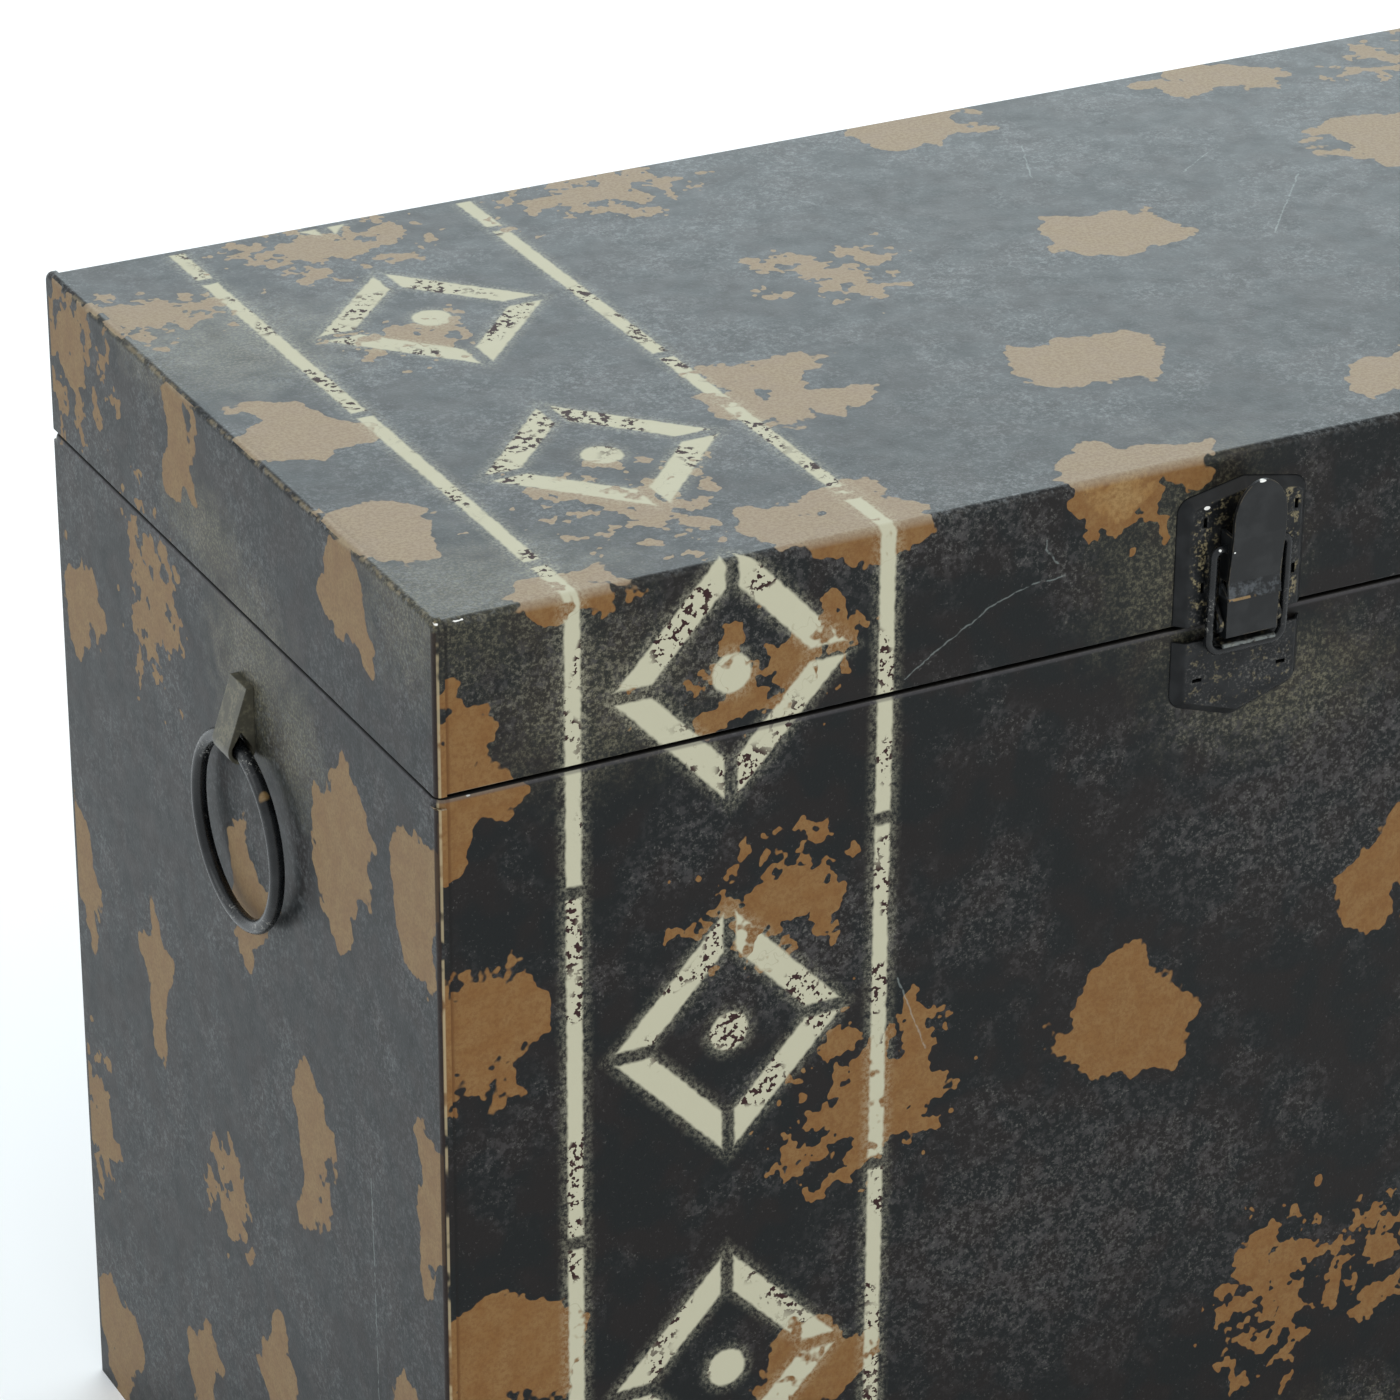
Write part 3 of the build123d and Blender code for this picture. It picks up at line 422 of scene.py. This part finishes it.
def painted_sheet(name, panels, low, high, bordered):
    """Worn charcoal paint for the pieces that hold these panels between two heights, with some light and shade
    painted in.
    """
    look = Look(name)
    x, y, z = look.axes(look.place)
    side_x, side_y, up, outward = facing(look)
    outward = look.both(outward, look.rise(z, high + 0.4, high + 0.1))

    # The right end and the back repeat the left end and the front, turned half round.
    turned = look.either(look.rise(x, half_length - 2.7, half_length - 2.6),
                         look.rise(y, half_depth - 2.7, half_depth - 2.6))
    turned = look.both(turned, look.rise(z, height - 0.9, height - 1.0))
    way = look.math("MULTIPLY_ADD", turned, -2.0, 1.0)
    where = look.joined(look.math("MULTIPLY", x, way), look.math("MULTIPLY", y, way), z)

    cloud = look.noise(30, 2.0, 0.6)
    mottle = look.noise(6, 2.0, 0.6)
    fine = look.noise(0.85, 2.0, 0.7)
    grain = look.noise(0.8, 1.0)
    hue = look.noise(11, 1.0)

    # paint: greenish and brownish blacks, with pale specks in clouds
    colour = look.mix(look.rise(hue, 0.4, 0.62), PAINT, PAINT_BROWN)
    crowd = look.rise(look.math("ADD", cloud, blobs(look, where, SPECK_CROWDS)), 1.7, 0.9)
    crowd = look.either(crowd, look.math("MULTIPLY", look.rise(cloud, 0.48, 0.66), 0.8))
    speck_level = look.math("MULTIPLY_ADD", crowd, 0.13, fine)
    specks = look.both(look.rise(speck_level, 0.62, 0.88), look.math("MULTIPLY_ADD", side_x, -0.3, 1.0))
    colour = look.mix(specks, colour, SPECK)
    coarse = look.noise(2.4, 3.0, 0.75)
    blotches = look.both(look.rise(coarse, 0.47, 0.66), crowd, side_y)
    colour = look.mix(look.math("MULTIPLY", blotches, 0.5), colour, BLOTCH)
    streaks = look.both(look.rise(look.noise(1.5, 3.0, 0.8), 0.44, 0.70),
                        look.math("MULTIPLY_ADD", look.rise(cloud, 0.35, 0.65), 0.75, 0.25),
                        look.math("MULTIPLY_ADD", up, 0.62, look.math("MULTIPLY", side_x, 0.38)))
    colour = look.mix(streaks, colour, GRAIN)

    # yellowish dust
    drift = look.math("MULTIPLY_ADD", mottle, 0.9, blobs(look, where, DUST_CLOUDS))
    dusty = look.rise(drift, 1.5, 0.5)
    dust_speck = look.both(dusty, look.rise(fine, 0.42, 0.68))
    haze_share = look.math("MULTIPLY_ADD", look.either(up, side_x), 0.10, 0.08)
    colour = look.mix(look.math("MULTIPLY", dusty, haze_share), colour, DUST)
    colour = look.mix(look.math("MULTIPLY", dust_speck, 0.55), colour, SPECK_TAN)

    # bare patches, with a darker rim and a grain of their own; paler on the top as painted sheen and darker on the
    # ends as painted shade
    endwise = look.rise(look.math("SUBTRACT", side_x, look.either(side_y, up)), -0.1, 0.1)
    solid, torn = bare_patches(look, where, endwise, panels, low, high)
    bare = look.both(look.either(look.rise(solid, 1.02, 0.98), look.rise(torn, 0.90, 0.84)), outward)
    rim = look.both(look.either(look.rise(solid, 0.86, 0.98), look.rise(torn, 0.62, 0.86)), 0.5)
    brown = look.mix(look.rise(mottle, 0.3, 0.7), BARE_BROWN, BARE_TAN)
    brown = look.mix(look.math("MULTIPLY", look.rise(fine, 0.60, 0.34), 0.45), brown, BARE_DARK)
    brown = look.mix(look.both(rim, side_y), brown, BARE_DARK)
    brown = look.mix(look.math("MULTIPLY", look.rise(coarse, 0.50, 0.62), 0.22), brown, BARE_DARK)
    # painted sheen: bare patches on the top are painted paler
    brown = look.mix(look.math("MULTIPLY", up, 0.60), brown, TOP_SHEEN_TAN)
    brown = look.mix(look.both(up, look.rise(fine, 0.62, 0.36), 0.25), brown, BARE_DARK)
    # painted shade: bare patches on the ends are painted darker
    brown = look.mix(look.math("MULTIPLY", side_x, 0.40), brown, END_SHADE_TAN)
    colour = look.mix(bare, colour, brown)
    covered = bare

    if bordered:
        # stencilled border, flaked in places
        cream, haze = (look.both(mask, outward) for mask in stencil_border(look))
        colour = look.mix(look.math("MULTIPLY", look.both(haze, look.rise(fine, 0.35, 0.7)), 0.30),
                          colour, CREAM)
        chips = look.both(look.rise(look.noise(1.9, 2.0, 0.65), 0.53, 0.56),
                          look.rise(look.noise(15, 1.0), 0.49, 0.57))
        colour = look.mix(look.without(cream, bare), colour, look.mix(chips, CREAM, FLAKE))
        colour = look.mix(look.both(cream, bare, look.rise(mottle, 0.40, 0.48)), colour, CREAM)
        covered = look.either(bare, cream)

    # edges: worn folds and the lips' cut edges, broken up by noise; also painted shadow beside the lips' cut edges
    # and painted shade on the lips' rounded faces
    from_end = look.math("SUBTRACT", half_length, look.math("ABSOLUTE", x))
    from_front = look.math("SUBTRACT", half_depth, look.math("ABSOLUTE", y))
    from_top = look.math("SUBTRACT", height, z)
    nearer = look.least(from_end, from_front)
    farther = look.either(from_end, from_front)
    edge = look.either(nearer, look.least(farther, from_top))
    broken = look.rise(look.noise(4.5, 2.0, 0.65), 0.47, 0.58)
    fold = look.both(look.rise(edge, 1.3, 0.4), broken, look.rise(from_top, 3.0, 2.0))
    on_front = look.rise(from_front, 1.9, 1.5)
    # painted shade: the lips' rounded faces at the front corners are painted dark
    shaded_lip_face = look.both(on_front, look.rise(from_end, 0.9, 0.6), look.rise(from_top, 2.0, 3.0))
    lip = look.both(look.rise(look.math("ABSOLUTE", look.math("SUBTRACT", from_end, 0.95)), 0.40, 0.15),
                    on_front, look.rise(look.noise(8, 2.0, 0.6), 0.42, 0.52))
    # painted shadow: a dark line beside each lip's cut edge, where the lip stands proud of the front
    lip_edge_shadow = look.both(look.rise(look.math("ABSOLUTE", look.math("SUBTRACT", from_end, 3.1)), 0.8, 0.2),
                       on_front)
    colour = look.mix(look.math("MULTIPLY", lip_edge_shadow, 0.7), colour, look.mix(bare, PAINTED_SHADE, BARE_DARK))
    colour = look.mix(look.math("MULTIPLY", shaded_lip_face, 0.82), colour, LIP_SHADE)
    colour = look.mix(look.math("MULTIPLY", lip, 0.7), colour, BARE_PALE)
    colour = look.mix(look.math("MULTIPLY", fold, 0.35), colour, BARE_PALE)

    scratch = look.both(scratched(look, look.vector(
        "ADD", where, look.vector("MULTIPLY_ADD", look.noise(3, 2.0, colour=True), (1.6, 1.6, 1.6), (-0.8, -0.8, -0.8)))),
        look.rise(look.noise(3, 1.0), 0.25, 0.45))
    colour = look.mix(look.math("MULTIPLY", scratch, 0.24), colour, SCRATCHED)
    # painted highlights: small white glints at the corner edges and on the bead
    edge_glint = look.rise(look.math("MULTIPLY_ADD", look.noise(1.4, 1.0), 1.3, blobs(look, where, EDGE_GLINTS)), 1.4, 1.25)
    colour = look.mix(edge_glint, colour, GLINT_WHITE)

    below_lid = look.rise(z, lid_rim - 0.1, lid_rim - 0.4)
    # painted sheen: the rolled bead below the lid is painted lighter, where its rounding would catch the light
    bead = look.both(look.rise(z, bead_top - 1.5, bead_top - 0.8), below_lid)
    colour = look.mix(look.both(bead, 0.5), colour, BEAD_SHEEN)
    # painted shade: a dark line in the gap between the lid and the bead
    gap_shade = look.both(look.rise(z, bead_top - 0.5, bead_top - 0.3), below_lid)
    colour = look.mix(gap_shade, colour, PAINTED_SHADE)

    rough = look.blend(covered, 0.40, 0.62)
    rough = look.math("MULTIPLY_ADD", mottle, 0.18, look.math("SUBTRACT", rough, 0.09))
    surface = look.relief(look.noise(70, 1.0), 0.45)
    surface = look.relief(grain, 0.03, surface)
    return look.finish(colour, rough, surface, specular=0.18)


FITTING_BLACK = (0.0035, 0.0042, 0.005)
FITTING_GREY = (0.011, 0.012, 0.013)
SPECK_YELLOW = (0.26, 0.215, 0.12)
LATCH_WIDE = 15.6           # half the plates' flat width
LATCH_OUT = 2.3             # plates' flat faces start this far out from the front


def fitting_base(name, edge, roughness, specular, dust=0.0):
    """Dark satin paint on a small fitting, softened at its edges: the look and its parts."""
    look = Look(name)
    fine = look.noise(0.8, 2.0, 0.65)
    colour = look.mix(look.rise(look.noise(5, 2.0), 0.4, 0.7), FITTING_BLACK, FITTING_GREY)
    colour = look.mix(dust, colour, DUST)
    bevel = look.tree.nodes.new("ShaderNodeBevel")
    bevel.samples = 4
    bevel.inputs["Radius"].default_value = edge * MM
    geometry = look.tree.nodes.new("ShaderNodeNewGeometry")
    bend = look.vector("DOT_PRODUCT", bevel.outputs[0], geometry.outputs["Normal"])
    rim = look.rise(bend, 0.985, 0.90)

    def close(colour):
        """The finished material, with this colour."""
        return look.finish(colour, look.math("MULTIPLY_ADD", fine, 0.16, roughness - 0.08),
                           look.relief(fine, 0.02, bevel.outputs[0]), specular=specular)

    return look, fine, colour, rim, close


def plate_paint():
    """Latch plates: smooth dark borders, and flat faces with dense grey and yellowish specks; painted shade behind
    the lever and a painted glint.
    """
    look, fine, colour, rim, close = fitting_base("latch_plate_paint", 0.5, 0.42, 0.22)
    x, y, z = look.axes(look.place)
    flat = look.both(look.rise(look.math("MULTIPLY", y, -1.0), face + LATCH_OUT, face + LATCH_OUT + 0.25),
                     look.rise(look.math("ABSOLUTE", x), LATCH_WIDE, LATCH_WIDE - 1.5))
    cloud = look.noise(7, 2.0, 0.6)
    grey = look.both(look.rise(look.math("MULTIPLY_ADD", cloud, 0.5, fine), 0.76, 1.04), flat)
    colour = look.mix(grey, colour, SPECK)
    on_lid = look.rise(z, lid_rim - 3, lid_rim + 1)
    lumps = look.both(look.rise(look.math("MULTIPLY_ADD", on_lid, 0.05, look.noise(2.6, 2.0, 0.7)), 0.56, 0.66),
                      look.rise(fine, 0.40, 0.56), flat)
    colour = look.mix(look.both(lumps, look.math("MULTIPLY_ADD", on_lid, 0.4, 0.35)), colour, SPECK_YELLOW)
    # painted shade: the upper plate is darkened behind and beside the lever, where its shadow falls
    shade = look.vector("LENGTH", look.vector(
        "MULTIPLY_ADD", look.place, (1 / 9, 0.0, 1 / 26), (-0.05, 0.0, -(lid_rim + 16) / 26)))
    colour = look.mix(look.both(look.rise(shade, 1.25, 0.8), on_lid, 0.7), colour, PAINTED_SHADE)
    nose = look.both(look.rise(look.math("MULTIPLY", y, -1.0), face + 5.6, face + 6.2),
                     look.rise(z, lid_rim - 3, lid_rim - 4), look.rise(look.noise(2.2, 2.0), 0.36, 0.5))
    colour = look.mix(look.math("MULTIPLY", nose, 0.6), colour, (0.22, 0.24, 0.23))
    # painted highlight: a white glint on the plate
    glint = look.rise(blobs(look, look.place, PLATE_GLINTS), 1.1, 0.9)
    return close(look.mix(glint, colour, GLINT_WHITE))


def lever_paint():
    """Lever: smooth blue-black, worn thin along its edges and orange-brown on its lip, with painted glints."""
    look, fine, colour, rim, close = fitting_base("lever_paint", 0.35, 0.36, 0.30)
    x, y, z = look.axes(look.place)
    worn = look.both(rim, look.rise(look.noise(3.5, 2.0, 0.6), 0.45, 0.6))
    colour = look.mix(look.math("MULTIPLY", worn, 0.30), colour, BARE_PALE)
    band = look.both(look.rise(z, lid_rim + 7.3, lid_rim + 8.0), look.rise(z, lid_rim + 12.3, lid_rim + 11.5))
    scuff = look.both(band, look.rise(look.noise(2.2, 3.0, 0.7), 0.42, 0.66))
    colour = look.mix(look.math("MULTIPLY", scuff, 0.6), colour, (0.10, 0.11, 0.12))
    line = look.both(look.rise(look.math("ABSOLUTE", look.math("SUBTRACT", z, lid_rim + 7.9)), 0.45, 0.2),
                     look.rise(x, 0.5, -1.0), look.rise(look.math("MULTIPLY", y, -1.0), face + 6.9, face + 7.2),
                     look.rise(look.noise(2.0, 2.0), 0.36, 0.46))
    colour = look.mix(look.math("MULTIPLY", line, 0.75), colour, BARE_TAN)
    # painted highlights: white glints on the lever
    glint = look.rise(blobs(look, look.place, LEVER_GLINTS), 1.1, 0.9)
    return close(look.mix(glint, colour, GLINT_WHITE))


def wire_paint():
    """Rings and bail: charcoal, with pale scratches in clouds and bare spots, and a painted glint on the bail."""
    look, fine, colour, rim, close = fitting_base("wire_paint", 0.3, 0.27, 0.34)
    cloud = look.rise(look.noise(14, 2.0), 0.50, 0.62)
    marks = look.both(look.rise(look.noise(0.9, 2.0, 0.75), 0.56, 0.66), cloud)
    colour = look.mix(look.math("MULTIPLY", marks, 0.6), colour, (0.34, 0.33, 0.30))
    worn = look.rise(blobs(look, look.place, RING_BARE), 1.15, 0.75)
    colour = look.mix(look.math("MULTIPLY", worn, 0.7), colour, BARE_TAN)
    # painted highlight: a white glint on the bail's top bend
    glint = look.rise(blobs(look, look.place, BAIL_GLINTS), 1.1, 0.9)
    return close(look.mix(glint, colour, GLINT_WHITE))


def strap_paint():
    """Straps: the same grey as the panel they lie on, under yellowish dust."""
    look, fine, colour, rim, close = fitting_base("strap_paint", 0.4, 0.42, 0.45, dust=0.34)
    dusty = look.both(look.rise(look.noise(3.5, 2.0, 0.6), 0.42, 0.60), look.rise(fine, 0.38, 0.60))
    return close(look.mix(look.math("MULTIPLY", dusty, 0.6), colour, SPECK_TAN))


def hinge_paint():
    """Hinges and rivets: dark, worn pale at the edges, with a few specks."""
    look, fine, colour, rim, close = fitting_base("hinge_paint", 0.4, 0.42, 0.28)
    worn = look.both(rim, look.rise(look.noise(3, 2.0, 0.6), 0.46, 0.58))
    colour = look.mix(look.math("MULTIPLY", worn, 0.4), colour, BARE_PALE)
    specks = look.both(look.rise(fine, 0.55, 0.7), look.rise(look.noise(8, 1.0), 0.4, 0.6))
    return close(look.mix(look.math("MULTIPLY", specks, 0.5), colour, SPECK_TAN))


# ================================================================ materials on the nodes
def cover(nodes, material):
    for node in nodes:
        mesh_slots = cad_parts[node].material_slots
        for slot in mesh_slots:
            slot.material = material


cover(("base_wrap",), painted_sheet("body_sheet", (FRONT_PANEL,), 0, body_top, True))
cover(("base_left_end", "base_right_end"),
      painted_sheet("body_end_sheet", (LEFT_PANEL,), 0, body_top, False))
cover(("base_collar",), painted_sheet("rim_sheet", (LEFT_PANEL, FRONT_PANEL), body_top - 10, bead_top, True))
cover(("lid_wrap",), painted_sheet("lid_sheet", (TOP_PANEL, FRONT_PANEL), lid_rim, height, True))
cover(("lid_left_end", "lid_right_end"),
      painted_sheet("lid_end_sheet", (LEFT_PANEL,), lid_rim, height, False))
cover(("latch_plate", "strike_plate"), plate_paint())
cover(("latch_lever", "latch_pin"), lever_paint())
cover(("latch_bail", "left_ring", "right_ring"), wire_paint())
cover(("left_ring_strap", "right_ring_strap"), strap_paint())
cover([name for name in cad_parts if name.startswith("hinge_")], hinge_paint())

# ================================================================ floor, light and camera
FLOOR_SIZE = 12.0


def floor():
    bpy.ops.mesh.primitive_grid_add(x_subdivisions=8, y_subdivisions=8, size=FLOOR_SIZE)
    ground = bpy.context.object
    ground.name = "floor"
    look = Look("floor_paper")
    shade = look.noise(400, 1.0)
    colour = look.mix(shade, (0.94, 0.94, 0.94), (0.96, 0.96, 0.96))
    ground.data.materials.append(look.finish(colour, 0.9))


def soft_box(name, place, aim, size, power, colour):
    light = bpy.data.lights.new(name, "AREA")
    light.shape = "RECTANGLE"
    light.size, light.size_y = size
    light.energy = power
    light.color = colour
    holder = bpy.data.objects.new(name, light)
    bpy.context.scene.collection.objects.link(holder)
    holder.location = place
    holder.rotation_euler = (Vector(aim) - Vector(place)).to_track_quat("-Z", "Y").to_euler()


def surroundings():
    world = bpy.data.worlds.new("studio")
    bpy.context.scene.world = world
    world.use_nodes = True
    background = world.node_tree.nodes["Background"]
    background.inputs["Color"].default_value = (0.95, 1.0, 1.03, 1.0)
    background.inputs["Strength"].default_value = 0.95
    soft_box("back_right", (1.6, 2.4, 1.5), (0.0, 0.0, 0.3), (2.6, 1.6), 40, (0.82, 0.96, 1.0))
    soft_box("front_right", (1.4, -2.2, 2.4), (0.0, 0.0, 0.1), (1.8, 1.8), 22, (1.0, 0.95, 0.86))
    soft_box("left", (-2.4, 0.9, 1.4), (-0.2, 0.0, 0.1), (1.6, 1.6), 12, (0.95, 1.0, 1.0))
    bpy.context.scene.view_settings.view_transform = "Standard"


CAMERA_PLACE = (-0.65943, -1.09821, 0.84676)
CAMERA_RIGHT = (0.88650, -0.46270, 0.00458)
CAMERA_FORWARD = (0.41598, 0.79258, -0.44585)
CAMERA_LENS = 141.8
SENSOR = 36.0


def camera():
    data = bpy.data.cameras.new("camera")
    data.lens = CAMERA_LENS
    data.sensor_width = SENSOR
    data.sensor_fit = "HORIZONTAL"
    data.clip_start = 0.05
    data.clip_end = 50
    holder = bpy.data.objects.new("camera", data)
    bpy.context.scene.collection.objects.link(holder)
    right = Vector(CAMERA_RIGHT).normalized()
    forward = Vector(CAMERA_FORWARD).normalized()
    up = right.cross(forward)
    turn = Matrix((right, up, -forward)).transposed().to_4x4()
    holder.matrix_world = Matrix.Translation(CAMERA_PLACE) @ turn
    bpy.context.scene.camera = holder


floor()
surroundings()
camera()
